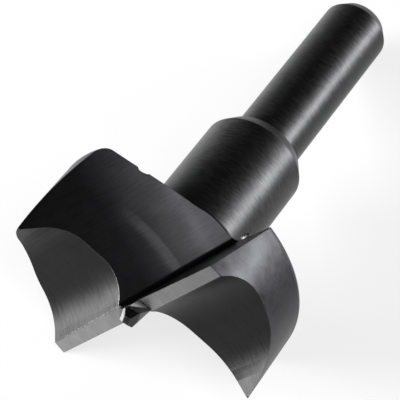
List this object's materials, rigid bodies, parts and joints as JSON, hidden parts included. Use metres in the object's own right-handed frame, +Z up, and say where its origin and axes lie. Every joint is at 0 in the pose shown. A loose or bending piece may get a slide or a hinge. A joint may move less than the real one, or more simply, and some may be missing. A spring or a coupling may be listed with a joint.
{
  "type": "forstner bit",
  "caption": "Wood-boring bit with ground cutting wings, rim spurs, a blunt centre point, a stepped collar and a plain round shank.",
  "frame": {"origin": "middle of the bounding box's foot, on the surface the bit lies on", "axes": "+X along the surface towards the cutting end, +Z up; the bit lies on its side with one flute facing up"},
  "size_m": [0.0546, 0.03, 0.0246],
  "materials": {
    "tool_steel": "dark, ground and turned"
  },
  "bodies": {
    "root": {"forstner_bit": "tool_steel"}
  },
  "joints": []
}
